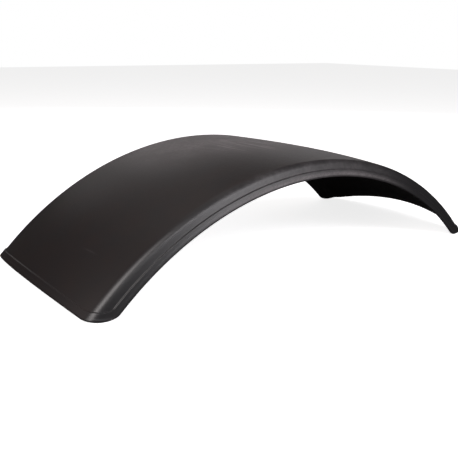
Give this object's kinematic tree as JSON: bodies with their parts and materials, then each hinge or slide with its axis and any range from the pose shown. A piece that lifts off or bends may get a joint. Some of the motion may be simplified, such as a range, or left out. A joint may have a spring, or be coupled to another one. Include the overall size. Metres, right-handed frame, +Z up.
{
  "type": "wheel mudguard",
  "caption": "Arched one-piece plastic wheel mudguard, crowned towards its ends, with shallow flared sides and a raised rim all round.",
  "frame": {"origin": "centre of the footprint, on the surface that the four corners stand on", "axes": "+X along the arch from end to end, +Y across it, +Z up through the crown"},
  "size_m": [0.934, 0.4, 0.1979],
  "materials": {
    "moulded_plastic": "black moulded plastic with a low sheen, slightly dusty on the crown"
  },
  "bodies": {
    "root": {"mudguard": "moulded_plastic"}
  },
  "joints": []
}
